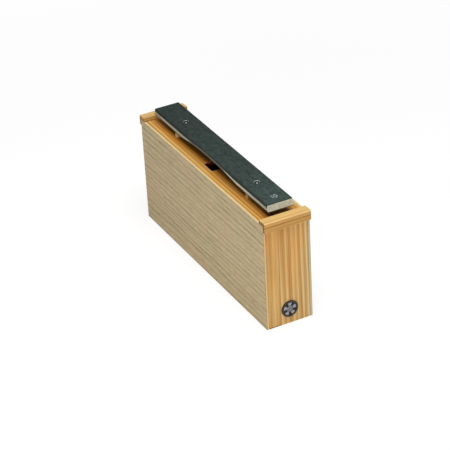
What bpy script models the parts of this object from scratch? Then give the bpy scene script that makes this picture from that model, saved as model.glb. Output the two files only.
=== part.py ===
"""Bass resonator bar: one tuned metal bar on two felt supports over a closed wooden sound box.

The long axis is X and the badge is on the +X end. The front panel faces -Y. The origin lies on
the floor, under the middle of the box. All lengths are in metres.
"""
import math

import bmesh
import bpy
from mathutils import Vector

# Fit between pieces that touch
SEAT_GAP = 0.0003

# Sound box
BOX_LENGTH = 0.478
BOX_WIDTH = 0.093
BOX_HEIGHT = 0.212
SIDE_THICKNESS = 0.005
END_THICKNESS = 0.012
TOP_THICKNESS = 0.008
BOTTOM_THICKNESS = 0.006
BOARD_EASING = 0.0006

# Sound slot across the middle of the top board
SLOT_LENGTH = 0.032
SLOT_WIDTH = 0.054
SLOT_CORNER = 0.003

# End rails, rabbeted over the top of each end
RAIL_RISE = 0.0075
RAIL_HEIGHT = 0.0195
RAIL_OVERHANG = 0.006
RAIL_LAP = 0.0142
RAIL_EASING = 0.0012

# Sound bar, whose length is that of its top face
BAR_LENGTH = 0.436
BAR_WIDTH = 0.050
BAR_THICKNESS = 0.0134
BAR_END_SLANT = 0.0045
BAR_EASING = 0.0007
ARCH_LENGTH = 0.210
ARCH_RISE = 0.0068
ARCH_STEPS = 28

# Supports under the two nodes of the bar
NODE_SPACING = 0.274
SUPPORT_LENGTH = 0.044
SUPPORT_WIDTH = 0.008
BRIDGE_HEIGHT = 0.0074
FELT_HEIGHT = 0.0047
BRIDGE_EASING = 0.0006
FELT_EASING = 0.0012

# Guide pins, their sleeves and the holes that they pass through
PIN_RADIUS = 0.0020
PIN_SEAT_DEPTH = 0.0065
PIN_TIP_BELOW_BAR_TOP = 0.0012
SLEEVE_RADIUS = 0.0033
SLEEVE_TOP_BELOW_PIN_TIP = 0.0030
BAR_HOLE_CLEARANCE = 0.0006
COUNTERSINK_WIDTH = 0.0013
COUNTERSINK_DEPTH = 0.0013
TURNED_STEPS = 24

# Badge on the near end
BADGE_RADIUS = 0.0165
BADGE_HEIGHT_ABOVE_FLOOR = 0.0303
BADGE_THICKNESS = 0.0022
BADGE_RIM_WIDTH = 0.0032
BADGE_FIELD_DEPTH = 0.0009
BADGE_BOSS_RADIUS = 0.0060
BADGE_BOSS_RISE = 0.0006
BADGE_STEPS = 48

# Places worked out from the sizes above
END_X = BOX_LENGTH / 2
SIDE_Y = BOX_WIDTH / 2
INNER_Y = SIDE_Y - SIDE_THICKNESS - SEAT_GAP
INNER_X = END_X - END_THICKNESS - SEAT_GAP
BRIDGE_BASE = BOX_HEIGHT + SEAT_GAP
BRIDGE_TOP = BRIDGE_BASE + BRIDGE_HEIGHT
FELT_BASE = BRIDGE_TOP + SEAT_GAP
BAR_UNDERSIDE = FELT_BASE + FELT_HEIGHT + SEAT_GAP
BAR_TOP = BAR_UNDERSIDE + BAR_THICKNESS
PIN_FOOT = BOX_HEIGHT - PIN_SEAT_DEPTH
PIN_TIP = BAR_TOP - PIN_TIP_BELOW_BAR_TOP
PIN_HOLE_RADIUS = PIN_RADIUS + SEAT_GAP
SLEEVE_TOP = PIN_TIP - SLEEVE_TOP_BELOW_PIN_TIP
BAR_HOLE_RADIUS = SLEEVE_RADIUS + BAR_HOLE_CLEARANCE
CUT_MARGIN = 0.002

# Which end a piece belongs to, as the sign of its X
ENDS = {"near": 1, "far": -1}

MATERIALS = {
    "plywood": ((0.45, 0.37, 0.22), 0.55, 0.0),
    "pine": ((0.60, 0.36, 0.13), 0.50, 0.0),
    "coated_metal": ((0.045, 0.058, 0.055), 0.42, 0.6),
    "steel": ((0.56, 0.55, 0.52), 0.30, 1.0),
    "rubber": ((0.03, 0.03, 0.03), 0.75, 0.0),
    "felt": ((0.42, 0.36, 0.26), 0.95, 0.0),
    "pewter": ((0.32, 0.32, 0.34), 0.35, 1.0),
}


def clear_scene():
    """Remove every object of the open scene."""
    for item in list(bpy.data.objects):
        bpy.data.objects.remove(item, do_unlink=True)


def material(name):
    """Return the named Principled material, made on first use."""
    found = bpy.data.materials.get(name)
    if found:
        return found
    colour, roughness, metallic = MATERIALS[name]
    made = bpy.data.materials.new(name)
    made.use_nodes = True
    shader = made.node_tree.nodes["Principled BSDF"]
    shader.inputs["Base Color"].default_value = (*colour, 1.0)
    shader.inputs["Roughness"].default_value = roughness
    shader.inputs["Metallic"].default_value = metallic
    made.diffuse_color = (*colour, 1.0)
    return made


def add_object(name, bm, material_name, location=(0.0, 0.0, 0.0)):
    """Turn a bmesh into a named object with outward faces, placed at location."""
    bmesh.ops.recalc_face_normals(bm, faces=bm.faces)
    mesh = bpy.data.meshes.new(name)
    bm.to_mesh(mesh)
    bm.free()
    mesh.shade_smooth()
    mesh.set_sharp_from_angle(angle=math.radians(35))
    mesh.materials.append(material(material_name))
    item = bpy.data.objects.new(name, mesh)
    item.location = location
    bpy.context.scene.collection.objects.link(item)
    return item


def block(low, high):
    """Return a bmesh box between two opposite corners."""
    bm = bmesh.new()
    bmesh.ops.create_cube(bm, size=1.0)
    low, high = Vector(low), Vector(high)
    bmesh.ops.scale(bm, vec=high - low, verts=bm.verts)
    bmesh.ops.translate(bm, vec=(low + high) / 2, verts=bm.verts)
    return bm


def extruded(outline, along):
    """Return a bmesh prism: a closed outline of points, carried along a vector."""
    bm = bmesh.new()
    face = bm.faces.new([bm.verts.new(point) for point in outline])
    swept = bmesh.ops.extrude_face_region(bm, geom=[face])
    moved = [part for part in swept["geom"] if isinstance(part, bmesh.types.BMVert)]
    bmesh.ops.translate(bm, vec=along, verts=moved)
    return bm


def turned(profile, steps, closed=False):
    """Return a bmesh turned about Z from (radius, height) points; closed joins last to first."""
    bm = bmesh.new()
    verts = [bm.verts.new((radius, 0.0, height)) for radius, height in profile]
    edges = [bm.edges.new(pair) for pair in zip(verts, verts[1:])]
    if closed:
        edges.append(bm.edges.new((verts[-1], verts[0])))
    bmesh.ops.spin(
        bm,
        geom=verts + edges,
        cent=(0.0, 0.0, 0.0),
        axis=(0.0, 0.0, 1.0),
        angle=math.tau,
        steps=steps,
        use_merge=True,
    )
    bmesh.ops.remove_doubles(bm, verts=bm.verts, dist=1e-6)
    return bm


def ease_edges(item, width, segments=2):
    """Round the sharp edges of an object."""
    bevel = item.modifiers.new("eased edges", "BEVEL")
    bevel.width = width
    bevel.segments = segments
    bevel.limit_method = "ANGLE"
    bevel.angle_limit = math.radians(35)
    bevel.use_clamp_overlap = True


def cut(item, name, bm, location=(0.0, 0.0, 0.0)):
    """Cut a bmesh shape out of an object and keep the cutter as a hidden wire guide."""
    tool = add_object(name, bm, "steel", location)
    tool.hide_render = True
    tool.display_type = "WIRE"
    boolean = item.modifiers.new(name, "BOOLEAN")
    boolean.operation = "DIFFERENCE"
    boolean.solver = "EXACT"
    boolean.object = tool


def node_place(end, height=0.0):
    """Return the point on the bar's centre line over the support of one end."""
    return (ENDS[end] * NODE_SPACING / 2, 0.0, height)


def pin_bore(radius, low, high):
    """Return a straight round cutter about Z."""
    return turned([(0.0, low), (radius, low), (radius, high), (0.0, high)], TURNED_STEPS)


def rounded_rectangle(length, width, corner, height, corner_steps=5):
    """Return the points of a rounded rectangle about the Z axis, at one height."""
    points = []
    for quarter, (side_x, side_y) in enumerate([(1, 1), (-1, 1), (-1, -1), (1, -1)]):
        centre_x = side_x * (length / 2 - corner)
        centre_y = side_y * (width / 2 - corner)
        for step in range(corner_steps + 1):
            angle = math.radians(90) * (quarter + step / corner_steps)
            x = centre_x + corner * math.cos(angle)
            y = centre_y + corner * math.sin(angle)
            points.append((x, y, height))
    return points


def build_sides():
    """Add the two plywood side panels, which run the full length and height of the box."""
    for name, side in (("front_side_panel", -1), ("rear_side_panel", 1)):
        outer = side * SIDE_Y
        inner = side * (SIDE_Y - SIDE_THICKNESS)
        low = (-END_X, min(outer, inner), 0.0)
        high = (END_X, max(outer, inner), BOX_HEIGHT)
        panel = add_object(name, block(low, high), "plywood")
        ease_edges(panel, BOARD_EASING)


def build_ends():
    """Add the two pine end boards between the side panels."""
    for end, sign in ENDS.items():
        outer = sign * END_X
        inner = sign * (END_X - END_THICKNESS)
        low = (min(outer, inner), -INNER_Y, 0.0)
        high = (max(outer, inner), INNER_Y, BOX_HEIGHT)
        board = add_object(f"{end}_end_board", block(low, high), "pine")
        ease_edges(board, BOARD_EASING)


def build_bottom():
    """Add the bottom board, level with the lower edges of the sides and ends."""
    low = (-INNER_X, -INNER_Y, 0.0)
    high = (INNER_X, INNER_Y, BOTTOM_THICKNESS)
    board = add_object("bottom_board", block(low, high), "plywood")
    ease_edges(board, BOARD_EASING)


def build_top():
    """Add the top board with its sound slot and the two blind seats of the guide pins."""
    low = (-INNER_X, -INNER_Y, BOX_HEIGHT - TOP_THICKNESS)
    high = (INNER_X, INNER_Y, BOX_HEIGHT)
    board = add_object("top_board", block(low, high), "pine")
    ease_edges(board, BOARD_EASING)
    slot_floor = BOX_HEIGHT - TOP_THICKNESS - CUT_MARGIN
    slot_reach = (0.0, 0.0, TOP_THICKNESS + 2 * CUT_MARGIN)
    slot = extruded(rounded_rectangle(SLOT_LENGTH, SLOT_WIDTH, SLOT_CORNER, slot_floor), slot_reach)
    cut(board, "sound_slot_cut", slot)
    for end in ENDS:
        seat = pin_bore(PIN_HOLE_RADIUS, PIN_FOOT - SEAT_GAP, BOX_HEIGHT + CUT_MARGIN)
        cut(board, f"{end}_pin_seat_cut", seat, node_place(end))


def build_rails():
    """Add the end rails, whose rabbet sits over the top and the outside of each end."""
    lap = END_X - RAIL_LAP
    lip = END_X + RAIL_OVERHANG
    shoulder = END_X + SEAT_GAP
    seat = BOX_HEIGHT + SEAT_GAP
    crest = BOX_HEIGHT + RAIL_RISE
    drop = crest - RAIL_HEIGHT
    section = [(lap, seat), (shoulder, seat), (shoulder, drop), (lip, drop), (lip, crest), (lap, crest)]
    for end, sign in ENDS.items():
        outline = [(sign * x, -SIDE_Y, z) for x, z in section]
        rail = add_object(f"{end}_end_rail", extruded(outline, (0.0, BOX_WIDTH, 0.0)), "pine")
        ease_edges(rail, RAIL_EASING)


def arch_points():
    """Return the undercut of the bar as (x, z) points on a circular arc, from -X to +X."""
    half = ARCH_LENGTH / 2
    radius = (half ** 2 + ARCH_RISE ** 2) / (2 * ARCH_RISE)
    reach = math.asin(half / radius)
    angles = [reach * (2 * step / ARCH_STEPS - 1) for step in range(ARCH_STEPS + 1)]
    crown = ARCH_RISE - radius
    return [(radius * math.sin(angle), crown + radius * math.cos(angle)) for angle in angles]


def build_bar():
    """Add the sound bar: slanted ends, arched underside and two countersunk holes at its nodes."""
    top = BAR_LENGTH / 2
    foot = top + BAR_END_SLANT
    section = [(-foot, 0.0), *arch_points(), (foot, 0.0), (top, BAR_THICKNESS), (-top, BAR_THICKNESS)]
    outline = [(x, -BAR_WIDTH / 2, z) for x, z in section]
    shape = extruded(outline, (0.0, BAR_WIDTH, 0.0))
    bar = add_object("sound_bar", shape, "coated_metal", (0.0, 0.0, BAR_UNDERSIDE))
    ease_edges(bar, BAR_EASING)
    rim = BAR_HOLE_RADIUS + COUNTERSINK_WIDTH
    neck = BAR_THICKNESS - COUNTERSINK_DEPTH
    profile = [
        (0.0, -CUT_MARGIN),
        (BAR_HOLE_RADIUS, -CUT_MARGIN),
        (BAR_HOLE_RADIUS, neck),
        (rim, BAR_THICKNESS),
        (rim, BAR_THICKNESS + CUT_MARGIN),
        (0.0, BAR_THICKNESS + CUT_MARGIN),
    ]
    for end in ENDS:
        cut(bar, f"{end}_bar_hole_cut", turned(profile, TURNED_STEPS), node_place(end, BAR_UNDERSIDE))


def build_supports():
    """Add a wooden bridge and a felt strip across the box under each node of the bar."""
    layers = [
        ("bridge", "pine", BRIDGE_BASE, BRIDGE_HEIGHT, BRIDGE_EASING, PIN_HOLE_RADIUS),
        ("support_felt", "felt", FELT_BASE, FELT_HEIGHT, FELT_EASING, SLEEVE_RADIUS + SEAT_GAP),
    ]
    half = Vector((SUPPORT_WIDTH / 2, SUPPORT_LENGTH / 2, 0.0))
    for end in ENDS:
        for kind, wood, base, height, easing, bore in layers:
            shape = block(-half, half + Vector((0.0, 0.0, height)))
            strip = add_object(f"{end}_{kind}", shape, wood, node_place(end, base))
            ease_edges(strip, easing)
            hole = pin_bore(bore, -CUT_MARGIN, height + CUT_MARGIN)
            cut(strip, f"{end}_{kind}_bore_cut", hole, node_place(end, base))


def build_pins():
    """Add the steel guide pins, with domed tips, and the soft sleeves round them."""
    length = PIN_TIP - PIN_FOOT
    dome = [math.radians(angle) for angle in (0, 22.5, 45, 67.5)]
    shaft_top = length - PIN_RADIUS / 2
    tip = [(PIN_RADIUS * math.cos(a), shaft_top + PIN_RADIUS / 2 * math.sin(a)) for a in dome]
    pin_profile = [(0.0, 0.0), (PIN_RADIUS, 0.0), *tip, (0.0, length)]
    bore = PIN_RADIUS + SEAT_GAP
    sleeve_length = SLEEVE_TOP - FELT_BASE
    lip = (SLEEVE_RADIUS - bore) / 2
    sleeve_profile = [
        (bore, 0.0),
        (SLEEVE_RADIUS, 0.0),
        (SLEEVE_RADIUS, sleeve_length - lip),
        (SLEEVE_RADIUS - lip, sleeve_length),
        (bore, sleeve_length),
    ]
    for end in ENDS:
        pin = turned(pin_profile, TURNED_STEPS)
        add_object(f"{end}_guide_pin", pin, "steel", node_place(end, PIN_FOOT))
        sleeve = turned(sleeve_profile, TURNED_STEPS, closed=True)
        add_object(f"{end}_pin_sleeve", sleeve, "rubber", node_place(end, FELT_BASE))


def build_badge():
    """Add the round badge: a raised rim round a sunk field with a plain boss in the middle."""
    field = BADGE_THICKNESS - BADGE_FIELD_DEPTH
    crest = BADGE_RADIUS - BADGE_RIM_WIDTH / 2
    profile = [
        (0.0, 0.0),
        (BADGE_RADIUS, 0.0),
        (BADGE_RADIUS, field),
        (crest, BADGE_THICKNESS),
        (BADGE_RADIUS - BADGE_RIM_WIDTH, field),
        (BADGE_BOSS_RADIUS, field),
        (BADGE_BOSS_RADIUS - BADGE_BOSS_RISE, field + BADGE_BOSS_RISE),
        (0.0, field + BADGE_BOSS_RISE),
    ]
    place = (END_X + SEAT_GAP, 0.0, BADGE_HEIGHT_ABOVE_FLOOR)
    badge = add_object("end_badge", turned(profile, BADGE_STEPS), "pewter", place)
    badge.rotation_euler = (0.0, math.radians(90), 0.0)


def main():
    """Build the whole resonator bar."""
    clear_scene()
    build_sides()
    build_ends()
    build_bottom()
    build_top()
    build_rails()
    build_supports()
    build_pins()
    build_bar()
    build_badge()


main()
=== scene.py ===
"""Dresses a bass resonator bar: a plywood and pine sound box under a loose, dark coated sound bar.

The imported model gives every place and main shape. This script adds finer surfaces where the solids
are plain, gives each piece its finish, and sets up the studio.
"""

import logging
import math
from dataclasses import dataclass, field
from enum import Enum

import bmesh
import bpy
import numpy as np
from mathutils import Matrix, Vector


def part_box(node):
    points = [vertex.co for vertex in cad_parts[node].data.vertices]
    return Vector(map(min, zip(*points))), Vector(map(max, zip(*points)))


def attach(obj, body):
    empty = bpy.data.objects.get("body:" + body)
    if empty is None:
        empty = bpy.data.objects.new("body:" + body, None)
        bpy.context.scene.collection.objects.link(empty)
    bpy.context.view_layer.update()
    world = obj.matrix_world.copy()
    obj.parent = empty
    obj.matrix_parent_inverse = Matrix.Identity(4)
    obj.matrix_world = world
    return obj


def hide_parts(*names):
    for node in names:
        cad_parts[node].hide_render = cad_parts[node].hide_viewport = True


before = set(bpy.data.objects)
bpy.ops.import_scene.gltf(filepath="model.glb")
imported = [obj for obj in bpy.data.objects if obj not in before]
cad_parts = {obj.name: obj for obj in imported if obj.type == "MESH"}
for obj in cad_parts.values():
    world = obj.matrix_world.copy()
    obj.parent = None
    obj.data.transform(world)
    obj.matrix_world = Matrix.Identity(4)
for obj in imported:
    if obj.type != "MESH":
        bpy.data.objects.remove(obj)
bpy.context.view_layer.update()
LOG = logging.getLogger("resonator_bar")
ENDS = ("near", "far")
BOX_BODY = "sound_box"
BAR_BODY = "bar"
WELD_DISTANCE = 2e-6

Colour = tuple[float, float, float]
Range = tuple[float, float]
Numbers = np.ndarray

WHITE: Colour = (1.0, 1.0, 1.0)


def shade(red: int, green: int, blue: int) -> Colour:
    """Return display values as a linear colour.

    Args:
        red: Red from 0 to 255.
        green: Green from 0 to 255.
        blue: Blue from 0 to 255.

    Returns:
        The colour that a shader takes.
    """
    display = np.array((red, green, blue)) / 255
    linear = np.where(display <= 0.04045, display / 12.92, ((display + 0.055) / 1.055) ** 2.4)
    return tuple(float(part) for part in linear)


class Wire:
    """A socket of a node tree. Arithmetic between wires and numbers adds Math nodes."""

    def __init__(self, recipe: "Recipe", socket: bpy.types.NodeSocket) -> None:
        """Keep the socket and the recipe that owns its tree."""
        self.recipe = recipe
        self.socket = socket

    def also(self, output: str) -> "Wire":
        """Return another output of the same node."""
        return Wire(self.recipe, self.socket.node.outputs[output])

    def math(self, operation: str, *operands: "float | Wire") -> "Wire":
        """Return the result of a Math node on the operands."""
        return self.recipe.node("ShaderNodeMath", {"operation": operation}, dict(enumerate(operands)))

    def __add__(self, other: "float | Wire") -> "Wire":
        """Return self + other."""
        return self.math("ADD", self, other)

    def __radd__(self, other: float) -> "Wire":
        """Return other + self."""
        return self.math("ADD", other, self)

    def __sub__(self, other: "float | Wire") -> "Wire":
        """Return self - other."""
        return self.math("SUBTRACT", self, other)

    def __rsub__(self, other: float) -> "Wire":
        """Return other - self."""
        return self.math("SUBTRACT", other, self)

    def __mul__(self, other: "float | Wire") -> "Wire":
        """Return self * other."""
        return self.math("MULTIPLY", self, other)

    def __rmul__(self, other: float) -> "Wire":
        """Return other * self."""
        return self.math("MULTIPLY", other, self)

    def __truediv__(self, other: "float | Wire") -> "Wire":
        """Return self / other."""
        return self.math("DIVIDE", self, other)

    def __rtruediv__(self, other: float) -> "Wire":
        """Return other / self."""
        return self.math("DIVIDE", other, self)

    def __pow__(self, other: "float | Wire") -> "Wire":
        """Return self to the power of other."""
        return self.math("POWER", self, other)

    def __rpow__(self, other: float) -> "Wire":
        """Return other to the power of self."""
        return self.math("POWER", other, self)

    def __abs__(self) -> "Wire":
        """Return the size of self without its sign."""
        return self.math("ABSOLUTE", self)

    def part(self) -> "Wire":
        """Return what is left of self above the whole number below it."""
        return self.math("FRACT", self)

    def whole(self) -> "Wire":
        """Return the whole number below self."""
        return self.math("FLOOR", self)

    def most(self, other: "float | Wire") -> "Wire":
        """Return the larger of self and other."""
        return self.math("MAXIMUM", self, other)

    def rise(self, low: float, high: float) -> "Wire":
        """Return an eased step of self, 0 at low and 1 at high; low may be the larger."""
        limits = {"Value": self, "From Min": low, "From Max": high}
        return self.recipe.node("ShaderNodeMapRange", {"interpolation_type": "SMOOTHSTEP"}, limits)


Value = float | Wire
Place = tuple[Wire, Wire, Wire]


class Grain(Enum):
    """The axis that the fibres of a board run along, with the two axes across them."""

    LENGTH = ("X", "Y", "Z")
    WIDTH = ("Y", "X", "Z")
    HEIGHT = ("Z", "X", "Y")


class Sheet(Enum):
    """How a plywood sheet lies: the axes along it, through it and across it."""

    UPRIGHT = ("X", "Y", "Z")
    LEVEL = ("X", "Z", "Y")


class Blend(Enum):
    """How a second colour joins a first: it covers it or multiplies it."""

    COVER = "MIX"
    TINT = "MULTIPLY"


class Recipe:
    """A node tree under construction, for a material or the world."""

    def __init__(self, owner: bpy.types.Material | bpy.types.World) -> None:
        """Empty the owner's node tree and keep it.

        Args:
            owner: The material or world to build.
        """
        owner.use_nodes = True
        self.owner = owner
        self.tree = owner.node_tree
        self.tree.nodes.clear()

    def node(
        self,
        kind: str,
        settings: dict | None = None,
        inputs: dict | None = None,
        output: str | int = 0,
    ) -> Wire | None:
        """Add a node.

        Args:
            kind: The node's type.
            settings: The node's own properties, which are set first.
            inputs: Numbers, colours or wires for its sockets, by name or place.
            output: The socket to return.

        Returns:
            The chosen output, or None for a node that has no output.
        """
        made = self.tree.nodes.new(kind)
        for name, value in (settings or {}).items():
            setattr(made, name, value)
        for name, value in (inputs or {}).items():
            socket = made.inputs[name]
            if isinstance(value, Wire):
                self.tree.links.new(value.socket, socket)
            else:
                socket.default_value = (*value, 1.0) if socket.type == "RGBA" else value
        return Wire(self, made.outputs[output]) if made.outputs else None

    def axes(self, names: tuple[str, str, str] = ("X", "Y", "Z")) -> Place:
        """Return the object's own coordinates.

        Args:
            names: The axes in the order that is wanted.

        Returns:
            The coordinates in metres.
        """
        place = self.node("ShaderNodeTexCoord", output="Object")
        first = self.node("ShaderNodeSeparateXYZ", inputs={0: place})
        return tuple(first.also(name) for name in names)

    def noise(self, place: tuple[Wire, ...], detail: float = 2.0, roughness: float = 0.5) -> Wire:
        """Return soft noise.

        Args:
            place: One to three coordinates, counted in cells of the noise.
            detail: How many finer layers there are.
            roughness: How strong each finer layer is.

        Returns:
            Noise from 0 to 1.
        """
        vector = self.node("ShaderNodeCombineXYZ", inputs=dict(enumerate(place)))
        sockets = {"Vector": vector, "Scale": 1.0, "Detail": detail, "Roughness": roughness}
        return self.node("ShaderNodeTexNoise", inputs=sockets)

    def chance(self, value: Wire) -> Wire:
        """Return a fixed random number from 0 to 1 for each value."""
        return self.node("ShaderNodeTexWhiteNoise", {"noise_dimensions": "1D"}, {"W": value})

    def mix(
        self,
        share: Value,
        first: Colour | Wire,
        second: Colour | Wire,
        blend: Blend = Blend.COVER,
    ) -> Wire:
        """Return the second colour joined to the first.

        Args:
            share: How much of the second colour shows.
            first: The colour underneath.
            second: The colour on top, or a value, which counts as grey.
            blend: How the two are joined.

        Returns:
            The joined colour.
        """
        settings = {"data_type": "RGBA", "blend_type": blend.value}
        return self.node("ShaderNodeMix", settings, {0: share, 6: first, 7: second}, 2)

    def scaled(self, colour: Colour | Wire, value: Wire) -> Wire:
        """Return a colour multiplied by a value."""
        return self.mix(1.0, colour, value, Blend.TINT)

    def tinted(self, tone: Wire, *tints: tuple[Wire, Colour]) -> Wire:
        """Return a colour multiplied by each tint in turn.

        Args:
            tone: The colour to start from.
            tints: How much of each tint shows, with the tint.

        Returns:
            The tinted colour.
        """
        for share, tint in tints:
            tone = self.mix(share, tone, tint, Blend.TINT)
        return tone

    def bump(self, height: Wire, distance: float, strength: float = 1.0) -> Wire:
        """Return a normal for a height from 0 to 1 that stands distance metres tall."""
        sockets = {"Height": height, "Distance": distance, "Strength": strength}
        return self.node("ShaderNodeBump", inputs=sockets)

    def surface(self, sockets: dict) -> bpy.types.Material:
        """Give the material a Principled surface.

        Args:
            sockets: The surface's values and wires by name.

        Returns:
            The material.
        """
        shader = self.node("ShaderNodeBsdfPrincipled", inputs=sockets)
        self.node("ShaderNodeOutputMaterial", inputs={"Surface": shader})
        return self.owner


def new_recipe(name: str) -> Recipe:
    """Return an empty recipe for a new material."""
    return Recipe(bpy.data.materials.new(name))


@dataclass(frozen=True)
class PineFinish:
    """Clear satin lacquer on pine, drawn as year rings round a pith line along the grain."""

    name: str
    grain: Grain
    pith: tuple[float, float]
    ring: float
    inner: float
    early: Colour
    late: Colour
    wander: float = 0.004
    roughness: float = 0.48
    gloss: float = 0.2
    rings: float = 0.85
    streaks: float = 2.0
    flame: float = 0.5
    flamed: Colour = (1.0, 0.84, 0.62)
    relief: float = 0.00008

    def material(self) -> bpy.types.Material:
        """Return the finish.

        A point's distance from the wandering pith line, counted in ring widths, gives its year.
        Each year darkens slowly from early to late wood and ends sharply.

        Returns:
            The material.
        """
        recipe = new_recipe(self.name)
        place = recipe.axes(self.grain.value)
        along, first, second = place
        drift = recipe.noise((along * 4, first * 9, second * 9))
        sway = recipe.noise((along * 4 + 5, first * 9, second * 9))
        across = first - self.pith[0] + (drift - 0.5) * self.wander
        depth = second - self.pith[1] + (sway - 0.5) * self.wander
        radius = (across * across + depth * depth) ** 0.5
        uneven = recipe.noise((radius * (0.6 / self.ring), along * 1.5))
        year = (radius - self.inner) / self.ring + (uneven - 0.5) * 0.6
        season = year.part()
        strength = recipe.chance(year.whole()) * 0.5 + 0.5
        late = (season.rise(0.04, 0.34) * 0.55 + season.rise(0.30, 0.90) * 0.45) * season.rise(1.0, 0.94)
        spring = season.rise(0.0, 0.04) * season.rise(0.20, 0.08)
        streak = recipe.noise((along * 3, first * 300, second * 300), 3)
        fibre = recipe.noise((along * 26, first * 1500, second * 1500), 2)
        canal = recipe.noise((along * 90, first * 1100, second * 1100), 0).rise(0.74, 0.8)
        cloud = recipe.noise((along * 7, first * 30, second * 30))
        flame = recipe.noise((along * 9 + 3, first * 45, second * 45), 3)
        dark = late * strength * self.rings + (streak - 0.5) * self.streaks
        tone = recipe.mix(dark, self.early, self.late)
        tone = recipe.tinted(tone, (flame.rise(0.42, 0.70) * self.flame, self.flamed))
        light = (fibre - 0.5) * 0.26 + (cloud - 0.5) * 0.30 + 1.0 - canal * late * 0.3 + spring * 0.1
        return recipe.surface(
            {
                "Base Color": self.toned(recipe, recipe.scaled(tone, light), place),
                "Roughness": (fibre - 0.5) * 0.12 - late * 0.05 + self.roughness,
                "Specular IOR Level": self.gloss,
                "Normal": recipe.bump(late * 0.6 + fibre * 0.4, self.relief, 0.6),
            }
        )

    def toned(self, recipe: Recipe, tone: Wire, place: Place) -> Wire:
        """Return the wood's colour with what is special to this board, which here is nothing."""
        return tone


@dataclass(frozen=True)
class EndBoardFinish(PineFinish):
    """Pine of an end board, with heartwood on one side, sapwood on the other and painted contact shade
    along part of its foot.
    """

    warm: Colour = (1.0, 0.90, 0.80)
    warm_from: Range = (0.02, 0.20)
    low_tint: Colour = (0.98, 0.98, 0.99)
    low_tint_from: Range = (0.09, 0.04)
    heart: Colour = (0.93, 0.87, 0.77)
    heart_from: Range = (-0.008, -0.034)
    sap: Colour = (1.04, 1.15, 1.34)
    sap_from: Range = (0.022, 0.038)
    # painted contact shade along the front part of the foot, where the board meets the floor
    contact_shade: Colour = (0.30, 0.24, 0.18)
    contact_shade_height: Range = (0.0034, 0.0012)
    contact_shade_from: Range = (-0.012, -0.026)

    def toned(self, recipe: Recipe, tone: Wire, place: Place) -> Wire:
        """Return the colour, warmer towards the top and toned from heartwood to sapwood.

        Args:
            recipe: The recipe to add to.
            tone: The wood's own colour.
            place: Coordinates up, along and across the box.

        Returns:
            The board's colour.
        """
        up, _, across = place
        # painted shade: a dark line low on the board's front part, in place of a contact shadow
        contact_shaded = up.rise(*self.contact_shade_height) * across.rise(*self.contact_shade_from)
        return recipe.tinted(
            tone,
            (up.rise(*self.warm_from), self.warm),
            # a little darker towards the bottom
            (up.rise(*self.low_tint_from), self.low_tint),
            (across.rise(*self.heart_from), self.heart),
            (across.rise(*self.sap_from), self.sap),
            (contact_shaded * 0.9, self.contact_shade),
        )


@dataclass(frozen=True)
class TopBoardFinish(PineFinish):
    """Pine of the top board, with painted shade under the bar and on the walls of its slot."""

    # painted shade: the board is deeper and warmer under the bar, where the bar's shadow falls
    deep: Colour = (0.85, 0.63, 0.34)
    under_bar_shade_from: Range = (0.040, 0.019)
    margin: Colour = (1.0, 1.10, 1.30)
    margin_from: Range = (0.036, 0.041)
    far_tint: Colour = (1.04, 1.07, 1.40)
    far_tint_from: Range = (-0.16, -0.22)
    lip: Colour = shade(214, 176, 146)
    lip_reach: Range = (0.0032, 0.0010)
    # painted shade on the slot's walls, which lead into the dark box
    slot: Colour = shade(140, 58, 36)
    slot_shade_reach: Range = (0.0004, 0.0001)
    slot_half: tuple[float, float] = (0.0160, 0.0270)

    def toned(self, recipe: Recipe, tone: Wire, place: Place) -> Wire:
        """Return the colour with painted shade along the middle line under the bar, rubbed round the
        slot and with painted shade inside it.

        Args:
            recipe: The recipe to add to.
            tone: The wood's own colour.
            place: Coordinates along, across and up the box.

        Returns:
            The board's colour.
        """
        along, across, _ = place
        toned = recipe.tinted(
            tone,
            # painted shade under the bar
            (abs(across).rise(*self.under_bar_shade_from), self.deep),
            (abs(across).rise(*self.margin_from), self.margin),
            # paler and bluer towards the far end
            (along.rise(*self.far_tint_from), self.far_tint),
        )
        rubbed = recipe.noise((along * 180, across * 180), 2).rise(0.25, 0.6)
        toned = recipe.mix(self.by_slot(along, across, self.lip_reach) * rubbed * 0.6, toned, self.lip)
        # painted shade: the slot's walls are dark red-brown, as the box's inside is in shade
        return recipe.mix(self.by_slot(along, across, self.slot_shade_reach), toned, self.slot)

    def by_slot(self, along: Wire, across: Wire, reach: Range) -> Wire:
        """Return 1 in the slot and near it.

        Args:
            along: The coordinate along the box.
            across: The coordinate across the box.
            reach: How far outside the slot the value falls to 0, and how far it stays 1.

        Returns:
            A value from 0 to 1.
        """
        length, width = self.slot_half
        within = abs(along).rise(length + reach[0], length + reach[1])
        return within * abs(across).rise(width + reach[0], width + reach[1])


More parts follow.
